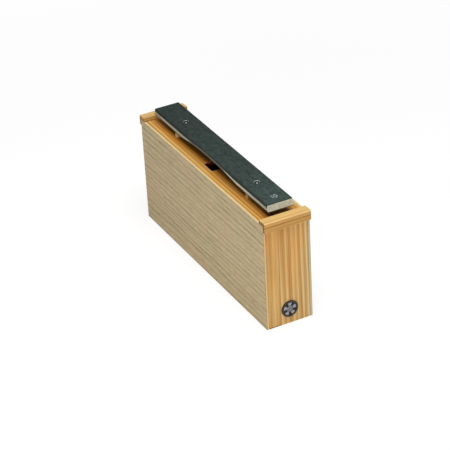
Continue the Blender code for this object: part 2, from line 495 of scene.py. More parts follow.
@dataclass(frozen=True)
class RailFinish(PineFinish):
    """Pine of an end rail, with a deeper front, a painted highlight on the eased front edge, and end
    grain darker as wood and by painted shade.
    """

    front: Colour = (1.0, 0.85, 0.70)
    # painted highlight on the eased front edge
    bright: Colour = (1.32, 1.32, 1.55)
    arris: Colour = WHITE
    foot: Colour = WHITE
    end_grain_and_shade: Colour = (0.43, 0.33, 0.15)
    inner_place: float = 0.2248
    foot_place: float = 0.2123
    front_place: float = 0.245
    end_place: float = 0.0465
    top_place: float = 0.2195
    easing: float = 0.0012

    def toned(self, recipe: Recipe, tone: Wire, place: Place) -> Wire:
        """Return the colour with a tint of its own for each face and edge.

        An edge is found by the sum of the distances from its two faces, counted in easings.

        Args:
            recipe: The recipe to add to.
            tone: The wood's own colour.
            place: Coordinates across, along and up the box.

        Returns:
            The rail's colour.
        """
        along, out, up = place
        face = abs(out).rise(self.front_place - 0.0008, self.front_place - 0.0001)
        shoulder = (abs(out) - self.front_place + up - self.top_place) / self.easing
        eased = shoulder.rise(-2.1, -1.5)
        corner = (self.inner_place - abs(out) + up - self.top_place) / self.easing
        inner = abs(out).rise(self.inner_place + 0.0005, self.inner_place + 0.0001)
        low = up.rise(self.foot_place + 0.0018, self.foot_place + 0.0008)
        end = abs(along).rise(self.end_place - 0.0006, self.end_place - 0.0001)
        return recipe.tinted(
            tone,
            (face * (1.0 - eased), self.front),
            # painted highlight on the eased front edge; ShadedRailFinish puts painted shade here
            (eased, self.bright),
            (corner.rise(-1.9, -1.4), self.arris),
            (inner * low, self.foot),
            # end faces: darker end grain, deepened by painted shade
            (end, self.end_grain_and_shade),
        )


@dataclass(frozen=True)
class ShadedRailFinish(RailFinish):
    """Pine of a rail with painted shade on its eased edges and in its inner foot, and end grain darker
    as wood and by painted shade.
    """

    # painted shade on the outer and inner top edges and in the inner foot, where the rail meets the top
    # board
    bright: Colour = (0.80, 0.72, 0.62)
    arris: Colour = (0.72, 0.60, 0.42)
    foot: Colour = (0.50, 0.42, 0.28)
    end_grain_and_shade: Colour = (0.58, 0.50, 0.38)


@dataclass(frozen=True)
class BridgeFinish(PineFinish):
    """Pine of a bridge: sides darkened by painted shade, and paler ends."""

    # painted shade on the bridge's sides, which lie under the bar
    side_shade: Colour = (0.50, 0.45, 0.33)
    end_place: float = 0.022

    def toned(self, recipe: Recipe, tone: Wire, place: Place) -> Wire:
        """Return the colour, darkened by painted shade everywhere but on the two cut ends."""
        side = abs(place[0]).rise(self.end_place - 0.0003, self.end_place - 0.0006)
        return recipe.tinted(tone, (side, self.side_shade))


@dataclass(frozen=True)
class PlywoodFinish:
    """Matt lacquered plywood: a figured veneer on both faces and pale bare layers at the cut edges."""

    name: str
    sheet: Sheet
    middle: float
    thickness: float
    veneer: float = 0.0008
    core_line: Range = (0.0009, 0.0007)
    line_width: float = 0.0112
    bend: float = 0.021
    ripple: float = 0.0024
    pale: Colour = shade(203, 186, 144)
    line: Colour = shade(150, 133, 96)
    rosy: Colour = shade(196, 166, 130)
    core: Colour = shade(231, 201, 143)
    glue: Colour = shade(150, 112, 70)
    low_tint: Colour = WHITE
    low_tint_from: Range = (0.11, 0.03)
    end_tone: Colour = WHITE
    end_place: float = 0.239
    end_dark: float = 0.38
    relief: float = 0.00006

    def material(self) -> bpy.types.Material:
        """Return the finish.

        The depth from the middle of the sheet picks veneer, glue line or core. Pores are short dark
        dashes along the fibres, and the sawn ends have a tone of their own.

        Returns:
            The material.
        """
        recipe = new_recipe(self.name)
        along, deep, across = recipe.axes(self.sheet.value)
        course = self.course(recipe, along, deep, across)
        streak = recipe.noise((along * 14, course * 620, deep * 60), 5, 0.7)
        pore = recipe.noise((along * 60, course * 2100, deep * 60), 1).rise(0.56, 0.66)
        patch = recipe.noise((along * 14, across * 20, deep * 9), 2)
        grit = recipe.noise((along * 900, across * 900, deep * 1400), 2)
        figure = self.figure(recipe, along, deep, course) + (streak - 0.5) * 1.5 + 0.10
        face = recipe.mix(figure, self.pale, self.line)
        face = recipe.mix(patch.rise(0.34, 0.70) * 0.45, face, self.rosy)
        face = recipe.scaled(face, 1.03 - pore * 0.34)
        # darker towards the bottom of an upright sheet
        face = recipe.tinted(face, (across.rise(*self.low_tint_from), self.low_tint))
        depth = abs(deep - self.middle)
        skin = self.thickness / 2 - self.veneer
        bare = recipe.scaled(self.core, (grit - 0.5) * 0.22 + (streak - 0.5) * 0.2 + 1.0)
        bare = recipe.mix(depth.rise(*self.core_line) * 0.15, bare, self.glue)
        seam = depth.rise(skin - 0.0003, skin - 0.0001) * depth.rise(skin + 0.0002, skin)
        layers = recipe.mix(seam * 0.35, bare, self.glue)
        cut = abs(along).rise(self.end_place - 0.0004, self.end_place - 0.0001)
        layers = recipe.tinted(layers, (cut, self.end_tone))
        face = recipe.scaled(face, 1.0 - cut * self.end_dark)
        return recipe.surface(
            {
                "Base Color": recipe.mix(depth.rise(skin, skin + 0.0001), layers, face),
                "Roughness": (streak - 0.5) * 0.14 + pore * 0.1 + 0.58,
                "Specular IOR Level": 0.25,
                "Normal": recipe.bump(streak * 0.5 + grit * 0.2 - pore * 0.5 + 0.5, self.relief, 0.6),
            }
        )

    def course(self, recipe: Recipe, along: Wire, deep: Wire, across: Wire) -> Wire:
        """Return the place across the sheet, bent by slow noise as the fibres bend.

        Args:
            recipe: The recipe to add to.
            along: The coordinate along the sheet.
            deep: The coordinate through the sheet.
            across: The coordinate across the sheet.

        Returns:
            The bent place in metres.
        """
        slow = recipe.noise((along * 2.5, across * 24, deep * 9), 1)
        warp = recipe.noise((along * 14, across * 60, deep * 26), 1)
        return across + (slow - 0.5) * self.bend + (warp - 0.5) * self.ripple

    def figure(self, recipe: Recipe, along: Wire, deep: Wire, course: Wire) -> Wire:
        """Return how dark the veneer's lines and flecks are.

        The course is counted in line widths. A line darkens towards its middle with a strength of
        its own, and noise that is stretched along the fibres breaks it up.

        Args:
            recipe: The recipe to add to.
            along: The coordinate along the sheet.
            deep: The coordinate through the sheet.
            course: The bent place across the sheet.

        Returns:
            Darkness, about 0 between the lines and 1 on a strong line.
        """
        count = course / self.line_width
        line = count.part().rise(0.0, 0.5) * count.part().rise(1.0, 0.5)
        line = line * (recipe.chance(count.whole()) * 0.55 + 0.45)
        broken = recipe.noise((along * 19, course * 110, deep * 26), 2).rise(0.15, 0.80)
        hair = recipe.noise((along * 14, course * 330, deep * 40), 2)
        fleck = recipe.noise((along * 55, course * 420, deep * 90), 2)
        return line * (broken * 0.45 + 0.55) * 0.80 + (hair + fleck - 1.0) * 0.8


@dataclass(frozen=True)
class CoatedBarFinish:
    """A dark baked coat on the top and upper sides of the bar, and bare milled metal elsewhere."""

    name: str
    top: float
    under: float
    half_length: float
    half_width: float
    slant: float
    hole_place: float
    hole_radius: float
    sink_radius: float
    sink_depth: float
    arch: tuple[float, float]
    end_depth: float = 0.0066
    middle_depth: float = 0.0023
    depth_from: Range = (0.015, 0.105)
    tilt: float = 0.0006
    tilt_from: Range = (0.14, -0.16)
    end_lip: float = 0.0014
    # height of the band of painted shade just over the underside
    under_edge_shade_height: float = 0.0017
    number_place: float = 0.1975
    stroke_aside: float = 0.0036
    stroke_width: Range = (0.0009, 0.0006)
    stroke_length: Range = (0.0054, 0.0050)
    oval_aside: float = 0.0028
    oval_half: tuple[float, float] = (0.0046, 0.0028)
    tarnish_place: float = -0.006
    tarnish_reach: Range = (0.080, 0.058)
    coat: Colour = shade(22, 37, 33)
    coat_light: Colour = shade(58, 70, 64)
    coat_violet: Colour = shade(46, 54, 58)
    metal: Colour = shade(203, 197, 173)
    metal_dark: Colour = shade(140, 138, 124)
    side_metal: Colour = shade(186, 197, 194)
    sink_metal: Colour = shade(150, 161, 163)
    tarnish: Colour = shade(88, 88, 84)
    # painted shade along the lower edge of the sides
    under_edge_shade: Colour = shade(56, 54, 50)
    mark: Colour = shade(152, 162, 160)
    relief: float = 0.00006

    def material(self) -> bpy.types.Material:
        """Return the finish.

        The coat carries a number and has an orange-peel skin. The bare metal has milled lines across
        the ends and drawn lines along the sides.

        Returns:
            The material.
        """
        recipe = new_recipe(self.name)
        place = recipe.axes()
        x, y, z = place
        ragged = recipe.noise((x * 420, y * 420, z * 420), 3) - 0.5
        peel = recipe.noise((x * 900, y * 900, z * 900), 1)
        cloud = recipe.noise((x * 90, y * 150, z * 150), 4, 0.7)
        rub = recipe.noise((x * 40, y * 900, z * 900), 2).rise(0.58, 0.78)
        cut = recipe.noise((x * 1100, y * 30, z * 1100), 2)
        drawn = recipe.noise((x * 22, y * 500, z * 2400), 3, 0.6) - 0.5
        tilted = x.rise(*self.tilt_from) * self.tilt
        sink = self.bare_sink(x, y, self.top - z, ragged)
        coat = self.coated(place, tilted, ragged) * (1.0 - sink * 0.95)
        stroke = self.number(x, y)
        paint = recipe.mix(stroke * 0.95, self.paint(recipe, place, cloud, rub), self.mark)
        bare = self.bare(recipe, place, cut, drawn)
        # painted shade in a narrow band along the sides' lower edge, just over the underside
        bare = recipe.mix(self.near_underside(x, z - tilted) * 0.85, bare, self.under_edge_shade)
        # painted glint: the countersinks' bare ring is brighter at the near hole than at the far one
        bare = recipe.mix(sink * 0.9, bare, recipe.scaled(self.sink_metal, x * 1.2 + 1.0))
        tooled = cut + (drawn + 0.5 - cut) * self.on_side(y)
        grain = peel * coat * 0.5 + tooled * (1.0 - coat) * 0.5 + coat * 0.5 - stroke * 0.6
        return recipe.surface(
            {
                "Base Color": recipe.mix(coat, bare, paint),
                "Metallic": 1.0 - coat,
                "Roughness": coat * 0.12 + (cloud - 0.5) * 0.14 - rub * coat * 0.08 + drawn * 0.2 + 0.48,
                "Specular IOR Level": 0.1,
                "Normal": recipe.bump(grain, self.relief, 0.7),
            }
        )

    def coated(self, place: Place, tilted: Wire, ragged: Wire) -> Wire:
        """Return 1 where the coat is.

        It reaches down the sides to a depth that lessens over the arch, and only just over the top
        edges of the ends, along lines that fine noise makes uneven. On the holes' walls its dark colour
        is painted shade.

        Args:
            place: Coordinates along, across and up the bar.
            tilted: How far the coat's edge lies higher than it would on an even bar.
            ragged: Fine noise about 0.

        Returns:
            A value from 0 to 1.
        """
        x, y, z = place
        below = self.top - z
        reach = abs(x).rise(*self.depth_from) * (self.end_depth - self.middle_depth) + self.middle_depth
        side = (below + tilted - reach + ragged * 0.0007).rise(0.0002, -0.0002)
        inside = (below * self.slant + self.half_length - abs(x) + ragged * 0.0004).rise(0.0001, 0.0005)
        lip = (below + ragged * 0.0008).rise(self.end_lip + 0.0002, self.end_lip - 0.0002)
        # painted shade: the holes' walls take the dark coat colour
        return (side * inside.most(lip)).most(self.in_bore(x, y))

    def paint(self, recipe: Recipe, place: Place, cloud: Wire, rub: Wire) -> Wire:
        """Return the coat's colour: clouded, rubbed, darker at the long edges, and with a painted sheen
        that lightens it towards the near end and darkens it at the far end.

        Args:
            recipe: The recipe to add to.
            place: Coordinates along, across and up the bar.
            cloud: Coarse noise.
            rub: Where the coat is rubbed along the bar.

        Returns:
            The colour without the number.
        """
        x, y, z = place
        tint = recipe.noise((x * 26 + 7, y * 40, z * 40), 2)
        margin = abs(y).rise(self.half_width - 0.0036, self.half_width - 0.0008)
        paint = recipe.mix((cloud - 0.5) * 3.2 + rub * 0.2 + 0.42, self.coat, self.coat_light)
        paint = recipe.mix(tint.rise(0.45, 0.7) * 0.4, paint, self.coat_violet)
        # painted sheen: the coat lightens steadily along the bar towards the near end
        return recipe.scaled(paint, (1.0 - margin * 0.3) * (x * 1.05 + x.rise(0.04, 0.2) * 0.30 + 0.856))

    def bare(self, recipe: Recipe, place: Place, cut: Wire, drawn: Wire) -> Wire:
        """Return the bare metal's colour: milled and stained, drawn on the sides, tarnished in the arch.

        Args:
            recipe: The recipe to add to.
            place: Coordinates along, across and up the bar.
            cut: Noise stretched across the bar.
            drawn: Noise about 0, stretched along the bar.

        Returns:
            The colour.
        """
        x, y, z = place
        stain = recipe.noise((x * 60, y * 260, z * 260), 4, 0.65)
        bare = recipe.mix((cut - 0.5) * 0.9 + (stain - 0.5) * 1.6 + 0.4, self.metal, self.metal_dark)
        on_side = self.on_side(y)
        bare = recipe.mix(on_side * 0.8, bare, recipe.scaled(self.side_metal, drawn * 0.9 + 1.0))
        dim = x.rise(0.06, -0.12) * 0.27 + x.rise(0.14, 0.18) * 0.15
        bare = recipe.scaled(bare, 1.0 - on_side * dim)
        tarnished = abs(x - self.tarnish_place).rise(*self.tarnish_reach)
        return recipe.mix(tarnished * 0.9, bare, self.tarnish)

    def on_side(self, y: Wire) -> Wire:
        """Return 1 on the bar's two long sides."""
        return abs(y).rise(self.half_width - 0.0005, self.half_width - 0.0001)

    def near_underside(self, x: Wire, z: Wire) -> Wire:
        """Return 1 in a narrow band just over the underside, whose arch is a circular arc.

        Args:
            x: The coordinate along the bar.
            z: The height.

        Returns:
            A value from 0 to 1.
        """
        half, rise = self.arch
        radius = (half**2 + rise**2) / (2 * rise)
        level = ((radius**2 - x * x) ** 0.5 - (radius - rise)).most(0.0) + self.under
        return (z - level).rise(self.under_edge_shade_height, self.under_edge_shade_height * 0.5)

    def hole_distance(self, x: Wire, y: Wire) -> Wire:
        """Return the distance from the nearer hole's axis."""
        off = abs(x) - self.hole_place
        return (off * off + y * y) ** 0.5

    def in_bore(self, x: Wire, y: Wire) -> Wire:
        """Return 1 on the wall of a hole, which takes the coat's dark colour as painted shade."""
        return self.hole_distance(x, y).rise(self.hole_radius + 0.0003, self.hole_radius + 0.0001)

    def bare_sink(self, x: Wire, y: Wire, below: Wire, ragged: Wire) -> Wire:
        """Return 1 on the upper part of a countersink, where the coat is rubbed off.

        Args:
            x: The coordinate along the bar.
            y: The coordinate across the bar.
            below: The depth below the top.
            ragged: Fine noise about 0.

        Returns:
            A value from 0 to 1.
        """
        distance = self.hole_distance(x, y) + ragged * 0.0003
        ring = distance.rise(self.sink_radius + 0.0002, self.sink_radius)
        return ring * below.rise(self.sink_depth * 0.38, self.sink_depth * 0.20)

    def number(self, x: Wire, y: Wire) -> Wire:
        """Return 1 on a plain stamped number of a stroke and an oval ring.

        Args:
            x: The coordinate along the bar.
            y: The coordinate across the bar.

        Returns:
            A value from 0 to 1.
        """
        along = x - self.number_place
        long, wide = self.oval_half
        stroke = abs(y + self.stroke_aside).rise(*self.stroke_width)
        stroke = stroke * abs(along).rise(*self.stroke_length)
        oval = ((along / long) ** 2.0 + ((y - self.oval_aside) / wide) ** 2.0) ** 0.5
        return stroke.most(abs(oval - 1.0).rise(0.30, 0.20))


@dataclass(frozen=True)
class SteelFinish:
    """Bright drawn steel with fine lines along the pin."""

    name: str
    bright: Colour = shade(150, 154, 154)
    dull: Colour = shade(104, 108, 108)

    def material(self) -> bpy.types.Material:
        """Return the finish: drawn lines are noise stretched far along the pin.

        Returns:
            The material.
        """
        recipe = new_recipe(self.name)
        x, y, z = recipe.axes()
        drawn = recipe.noise((x * 2600, y * 2600, z * 60), 2)
        spot = recipe.noise((x * 500, y * 500, z * 500), 3)
        dulled = drawn * 0.6 + spot.rise(0.55, 0.75) * 0.4
        return recipe.surface(
            {
                "Base Color": recipe.mix(dulled, self.bright, self.dull),
                "Metallic": 1.0,
                "Roughness": drawn * 0.15 + spot * 0.1 + 0.42,
                "Normal": recipe.bump(drawn, 0.00002, 0.5),
            }
        )


@dataclass(frozen=True)
class RubberFinish:
    """Soft black tube with a dusty bloom."""

    name: str
    black: Colour = shade(22, 22, 22)
    dusty: Colour = shade(52, 51, 49)

    def material(self) -> bpy.types.Material:
        """Return the finish: bloom is coarse noise, and the skin is fine noise.

        Returns:
            The material.
        """
        recipe = new_recipe(self.name)
        x, y, z = recipe.axes()
        bloom = recipe.noise((x * 350, y * 350, z * 350), 3)
        skin = recipe.noise((x * 3000, y * 3000, z * 3000), 1)
        return recipe.surface(
            {
                "Base Color": recipe.mix(bloom.rise(0.45, 0.7), self.black, self.dusty),
                "Roughness": bloom * 0.2 + 0.55,
                "Normal": recipe.bump(skin, 0.00004, 0.6),
            }
        )


@dataclass(frozen=True)
class FeltFinish:
    """Pressed wool felt in olive grey, with tangled fibres and darker presses."""

    name: str
    light: Colour = shade(172, 158, 126)
    dark: Colour = shade(112, 102, 78)

    def material(self) -> bpy.types.Material:
        """Return the finish: two noises, each bent by a third, cross as tangled fibres.

        Returns:
            The material.
        """
        recipe = new_recipe(self.name)
        x, y, z = recipe.axes()
        bend = recipe.noise((x * 500, y * 500, z * 500), 2) - 0.5
        lay = recipe.noise((x * 2400 + bend * 4, y * 500, z * 2400), 2)
        over = recipe.noise((x * 600, y * 2600 + bend * 5, z * 2200), 2)
        tangle = lay.most(over)
        press = recipe.noise((x * 160, y * 160, z * 220), 2)
        share = tangle.rise(0.35, 0.75) * 0.7 + (press - 0.5) * 0.5 + 0.1
        return recipe.surface(
            {
                "Base Color": recipe.mix(share, self.dark, self.light),
                "Roughness": 0.95,
                "Specular IOR Level": 0.1,
                "Sheen Weight": 0.25,
                "Normal": recipe.bump(tangle, 0.0003, 0.9),
            }
        )


@dataclass(frozen=True)
class BadgeFinish:
    """Cast metal badge: a dark filled rim with bright crests and beads round a silvery field."""

    name: str
    centre: tuple[float, float]
    face: float
    rim: float
    boss: float
    field_height: float
    crest_from: Range = (0.00066, 0.00084)
    hollow_from: Range = (0.00006, -0.00010)
    silver: Colour = shade(192, 190, 197)
    silver_dark: Colour = shade(78, 76, 84)
    enamel: Colour = shade(30, 25, 17)
    enamel_light: Colour = shade(58, 50, 36)

    def material(self) -> bpy.types.Material:
        """Return the finish: height above the field bares the metal, and hollows keep dark fill.

        Returns:
            The material.
        """
        recipe = new_recipe(self.name)
        x, y, z = recipe.axes()
        across = y - self.centre[0]
        up = z - self.centre[1]
        radius = (across * across + up * up) ** 0.5
        rub = recipe.noise((x * 500, y * 500, z * 500), 3)
        turned = recipe.noise((radius * 5200,), 1)
        height = x - self.face - self.field_height + (rub - 0.5) * 0.0003
        ring = radius.rise(self.rim - 0.0003, self.rim + 0.0001)
        fill = (ring * (1.0 - height.rise(*self.crest_from))).most(height.rise(*self.hollow_from))
        metal = recipe.mix(rub * 0.6 + turned * 0.4, self.silver, self.silver_dark)
        metal = recipe.scaled(metal, 1.0 - radius.rise(self.boss + 0.0004, self.boss - 0.0016) * 0.42)
        enamel = recipe.mix(rub, self.enamel, self.enamel_light)
        return recipe.surface(
            {
                "Base Color": recipe.mix(fill, metal, enamel),
                "Metallic": 1.0 - fill,
                "Roughness": rub * 0.2 + fill * 0.1 + 0.24,
                "Specular IOR Level": 0.12,
                "Normal": recipe.bump(turned * 0.5 + rub * 0.5, 0.00003, 0.5),
            }
        )


class Skin:
    """Patches of quads that are gathered and welded into one mesh."""

    def __init__(self) -> None:
        """Start with no points and no faces."""
        self.points: list[Numbers] = []
        self.faces: list[list[int]] = []
        self.count = 0

    def patch(
        self,
        grid: Numbers,
        wrap: tuple[bool, bool] = (False, False),
        drop: Numbers | None = None,
    ) -> Numbers:
        """Add a grid of points as quads between neighbours.

        Args:
            grid: Points by row and column.
            wrap: Whether the last row joins the first, and the last column the first.
            drop: True for each quad to leave out.

        Returns:
            The points' numbers by row and column.
        """
        rows, columns = grid.shape[:2]
        index = self.count + np.arange(rows * columns).reshape(rows, columns)
        self.points.append(grid.reshape(-1, 3))
        self.count += rows * columns
        joined = np.concatenate([index, index[:1]]) if wrap[0] else index
        joined = np.concatenate([joined, joined[:, :1]], axis=1) if wrap[1] else joined
        quads = np.stack([joined[:-1, :-1], joined[1:, :-1], joined[1:, 1:], joined[:-1, 1:]], axis=-1)
        quads = quads.reshape(-1, 4) if drop is None else quads[~drop]
        self.faces.extend(quads.tolist())
        return index

    def cap(self, ring: Numbers) -> None:
        """Close a ring of point numbers with one flat face."""
        self.faces.append(ring.tolist())

    def piece(self, name: str, material: bpy.types.Material, sharp: float = 40.0) -> bpy.types.Object:
        """Weld the patches and make them an object at the origin.

        Args:
            name: The piece's name.
            material: Its finish.
            sharp: The angle in degrees above which an edge stays sharp.

        Returns:
            The object, with smooth shading that keeps flat faces flat.
        """
        mesh = bpy.data.meshes.new(name)
        mesh.from_pydata(np.concatenate(self.points).tolist(), [], self.faces)
        welded = bmesh.new()
        welded.from_mesh(mesh)
        bmesh.ops.remove_doubles(welded, verts=welded.verts, dist=WELD_DISTANCE)
        bmesh.ops.recalc_face_normals(welded, faces=welded.faces)
        welded.to_mesh(mesh)
        welded.free()
        mesh.polygons.foreach_set("use_smooth", np.ones(len(mesh.polygons), dtype=bool))
        mesh.set_sharp_from_angle(angle=math.radians(sharp))
        mesh.materials.append(material)
        item = bpy.data.objects.new(name, mesh)
        bpy.context.scene.collection.objects.link(item)
        even = item.modifiers.new("even_shading", "WEIGHTED_NORMAL")
        even.keep_sharp = True
        return item


def lathe(profile: Numbers, steps: int, place: tuple[float, float, float]) -> Numbers:
    """Return a profile turned round an upright axis.

    A point at (radius, height) and angle t goes to place + (radius cos t, radius sin t, height).

    Args:
        profile: Radius and height by row.
        steps: How many angles there are.
        place: The foot of the axis.

    Returns:
        Points by angle and profile row.
    """
    angle = np.linspace(0, 2 * np.pi, steps, endpoint=False)[:, None]
    radius, height = profile[None, :, 0], profile[None, :, 1]
    turned = [radius * np.cos(angle), radius * np.sin(angle), height + 0 * angle]
    return np.stack(turned, axis=-1) + np.array(place)


def finish_node(name: str, material: bpy.types.Material) -> bpy.types.Object:
    """Give a CAD node its finish.

    Args:
        name: The node's name.
        material: Its finish.

    Returns:
        The node's object.
    """
    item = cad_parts[name]
    for slot in item.material_slots:
        slot.material = material
    return item


@dataclass
class SoundBox:
    """The closed box: two plywood sides, two pine ends, a pine top and a plywood bottom."""

    side_thickness: float = 0.005
    bottom_thickness: float = 0.006
    end_ring: float = 0.0085
    top_ring: float = 0.0062
    front_end_tone: Colour = (1.08, 0.98, 0.86)
    rear_end_tone: Colour = (0.85, 0.94, 1.12)

    def dress(self) -> list[bpy.types.Object]:
        """Give each board its finish and return the boards."""
        return [*self.dress_sides(), *self.dress_ends(), *self.dress_level_boards()]

    def dress_sides(self) -> list[bpy.types.Object]:
        """Dress both side panels in veneered plywood.

        Returns:
            The panels.
        """
        panels = []
        tones = {"front_side_panel": self.front_end_tone, "rear_side_panel": self.rear_end_tone}
        for name, end_tone in tones.items():
            low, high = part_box(name)
            finish = PlywoodFinish(
                f"{name}_plywood",
                Sheet.UPRIGHT,
                middle=(low.y + high.y) / 2,
                thickness=self.side_thickness,
                # darker towards the bottom
                low_tint=(0.93, 0.92, 0.90),
                end_tone=end_tone,
            )
            panels.append(finish_node(name, finish.material()))
        return panels

    def dress_ends(self) -> list[bpy.types.Object]:
        """Dress both end boards in striped pine, with the pith well behind and to one side.

        Returns:
            The boards.
        """
        boards = []
        for name, sign in (("near_end_board", 1.0), ("far_end_board", -1.0)):
            finish = EndBoardFinish(
                f"{name}_pine",
                Grain.HEIGHT,
                pith=(sign * 0.149, -0.110),
                ring=self.end_ring,
                inner=0.1130,
                early=shade(226, 189, 124),
                late=shade(188, 137, 75),
                rings=0.72,
                streaks=3.0,
            )
            boards.append(finish_node(name, finish.material()))
        return boards

    def dress_level_boards(self) -> list[bpy.types.Object]:
        """Dress the top board in warm pine and the bottom board in plywood.

        Returns:
            The boards.
        """
        top = TopBoardFinish(
            "top_board_pine",
            Grain.LENGTH,
            pith=(0.110, 0.140),
            ring=self.top_ring,
            inner=0.100,
            early=shade(216, 174, 98),
            late=shade(176, 122, 50),
            roughness=0.55,
            gloss=0.08,
            flame=1.0,
            flamed=(1.0, 0.82, 0.56),
        )
        low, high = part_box("bottom_board")
        bottom = PlywoodFinish(
            "bottom_board_plywood",
            Sheet.LEVEL,
            middle=(low.z + high.z) / 2,
            thickness=self.bottom_thickness,
        )
        return [
            finish_node("top_board", top.material()),
            finish_node("bottom_board", bottom.material()),
        ]


@dataclass
class EndRails:
    """The rabbeted pine rails that cap the two ends of the box."""

    ring: float = 0.0060

    def dress(self) -> list[bpy.types.Object]:
        """Give both rails their finish, the far one with painted shade on its edges and foot.

        Returns:
            The rails.
        """
        rails = []
        kinds = (("near_end_rail", 1.0, RailFinish), ("far_end_rail", -1.0, ShadedRailFinish))
        for name, sign, kind in kinds:
            finish = kind(
                f"{name}_pine",
                Grain.WIDTH,
                pith=(sign * 0.235, 0.100),
                ring=self.ring,
                inner=0.1069,
                early=shade(213, 177, 110),
                late=shade(158, 104, 46),
                wander=0.0012,
                streaks=3.2,
            )
            rails.append(finish_node(name, finish.material()))
        return rails


@dataclass
class BarSupports:
    """Under each node of the bar: a pine bridge with a felt strip on it."""

    bridge_ring: float = 0.0035
    # one pine in two tones: painted shade for the near bridge and painted light for the far one
    near_pine_in_shade: Colour = shade(180, 149, 106)
    far_pine_in_light: Colour = shade(240, 214, 174)
    felt_bore: float = 0.0036
    corner: float = 0.0011
    squareness: float = 0.10
    bulge: float = 0.00012
    bulges: int = 9
    fuzz: float = 0.00007
    bore_margin: float = 0.0002
    walk_steps: int = 4096
    round_steps: int = 288
    flat_steps: int = 9
    section_steps: int = 10

    def dress(self) -> list[bpy.types.Object]:
        """Finish both bridges and build both felts.

        Returns:
            The bridges and felts.
        """
        pieces = []
        # painted light: the near bridge gets the shaded tone, the far bridge the lit one
        woods = ((1.0, self.near_pine_in_shade), (-1.0, self.far_pine_in_light))
        for end, (sign, early) in zip(ENDS, woods):
            pine = BridgeFinish(
                f"{end}_bridge_pine",
                Grain.WIDTH,
                pith=(sign * 0.118, 0.195),
                ring=self.bridge_ring,
                inner=0.020,
                early=early,
                late=shade(190, 152, 104),
                wander=0.002,
                roughness=0.62,
            )
            pieces.append(finish_node(f"{end}_bridge", pine.material()))
            pieces.append(self.felt(end))
        return pieces

    def outline(self, half_x: float, half_y: float) -> Numbers:
        """Return the felt's plan: a rectangle whose sides bulge a little, with round corners.

        At angle t, the sizes of cos t and sin t are raised to a small power and keep their signs,
        which squares a circle. The long sides then swell by a squared cosine along them.

        Args:
            half_x: Half the strip's width.
            half_y: Half the strip's length.

        Returns:
            Points round the plan, at even distances.
        """
        walk = np.linspace(0, 2 * np.pi, self.walk_steps, endpoint=False)
        x = half_x * np.sign(np.cos(walk)) * np.abs(np.cos(walk)) ** self.squareness
        y = half_y * np.sign(np.sin(walk)) * np.abs(np.sin(walk)) ** self.squareness
        swell = np.cos(np.pi * y / (2 * half_y)) * np.cos(self.bulges * np.pi * y / half_y) ** 2
        x += np.sign(x) * self.bulge * swell
        closed = np.stack([np.append(x, x[0]), np.append(y, y[0])], axis=1)
        length = np.append(0.0, np.cumsum(np.hypot(*np.diff(closed, axis=0).T)))
        even = np.linspace(0, length[-1], self.round_steps, endpoint=False)
        return np.stack([np.interp(even, length, closed[:, axis]) for axis in (0, 1)], axis=1)

    def felt(self, end: str) -> bpy.types.Object:
        """Return one felt strip.

        Its section, carried round the bore, goes out along the bottom from the bore to the plan's
        edge, up the side with round corners, back along the top and down the bore. Sines of the
        place, out of step with each other, roughen it outside the bore.

        Args:
            end: Which end of the bar it is under.

        Returns:
            The felt, which replaces its solid.
        """
        name = f"{end}_support_felt"
        low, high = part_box(name)
        centre = (low + high) / 2
        outer = self.outline((high.x - low.x) / 2, (high.y - low.y) / 2)
        direction = outer / np.hypot(*outer.T)[:, None]
        inner = direction * self.felt_bore
        wall = np.hypot(*(outer - inner).T)[:, None]
        radius = np.minimum(self.corner, wall * 0.45)
        bend = np.linspace(0, np.pi / 2, self.section_steps)
        tall = high.z - low.z
        out_low = wall - radius + radius * np.sin(bend)
        rise_low = radius * (1 - np.cos(bend)) * np.ones_like(wall)
        run = (wall - radius) * np.linspace(0, 1, self.flat_steps)
        section_out = np.concatenate([run, out_low, out_low[:, ::-1], run[:, ::-1]], axis=1)
        section_up = np.concatenate(
            [run * 0, rise_low, tall - rise_low[:, ::-1], run * 0 + tall], axis=1
        )
        plan = inner[:, None, :] + direction[:, None, :] * section_out[..., None]
        place = np.concatenate([plan, section_up[..., None]], axis=2)
        x, y, z = np.moveaxis(place, -1, 0)
        rough = np.sin(y * 5100 + z * 2300) * np.sin(x * 4300 + z * 3900)
        rough += np.sin(y * 9700 - x * 2700) * np.sin(z * 8100 + 1.3)
        push = rough * self.fuzz * (section_out > self.bore_margin)
        place[..., :2] += direction[:, None, :] * push[..., None]
        skin = Skin()
        skin.patch(place + np.array((centre.x, centre.y, low.z)), wrap=(True, True))
        item = skin.piece(name.replace("support", "soft"), FeltFinish(f"{name}_wool").material(), 70.0)
        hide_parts(name)
        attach(item, BOX_BODY)
        return item


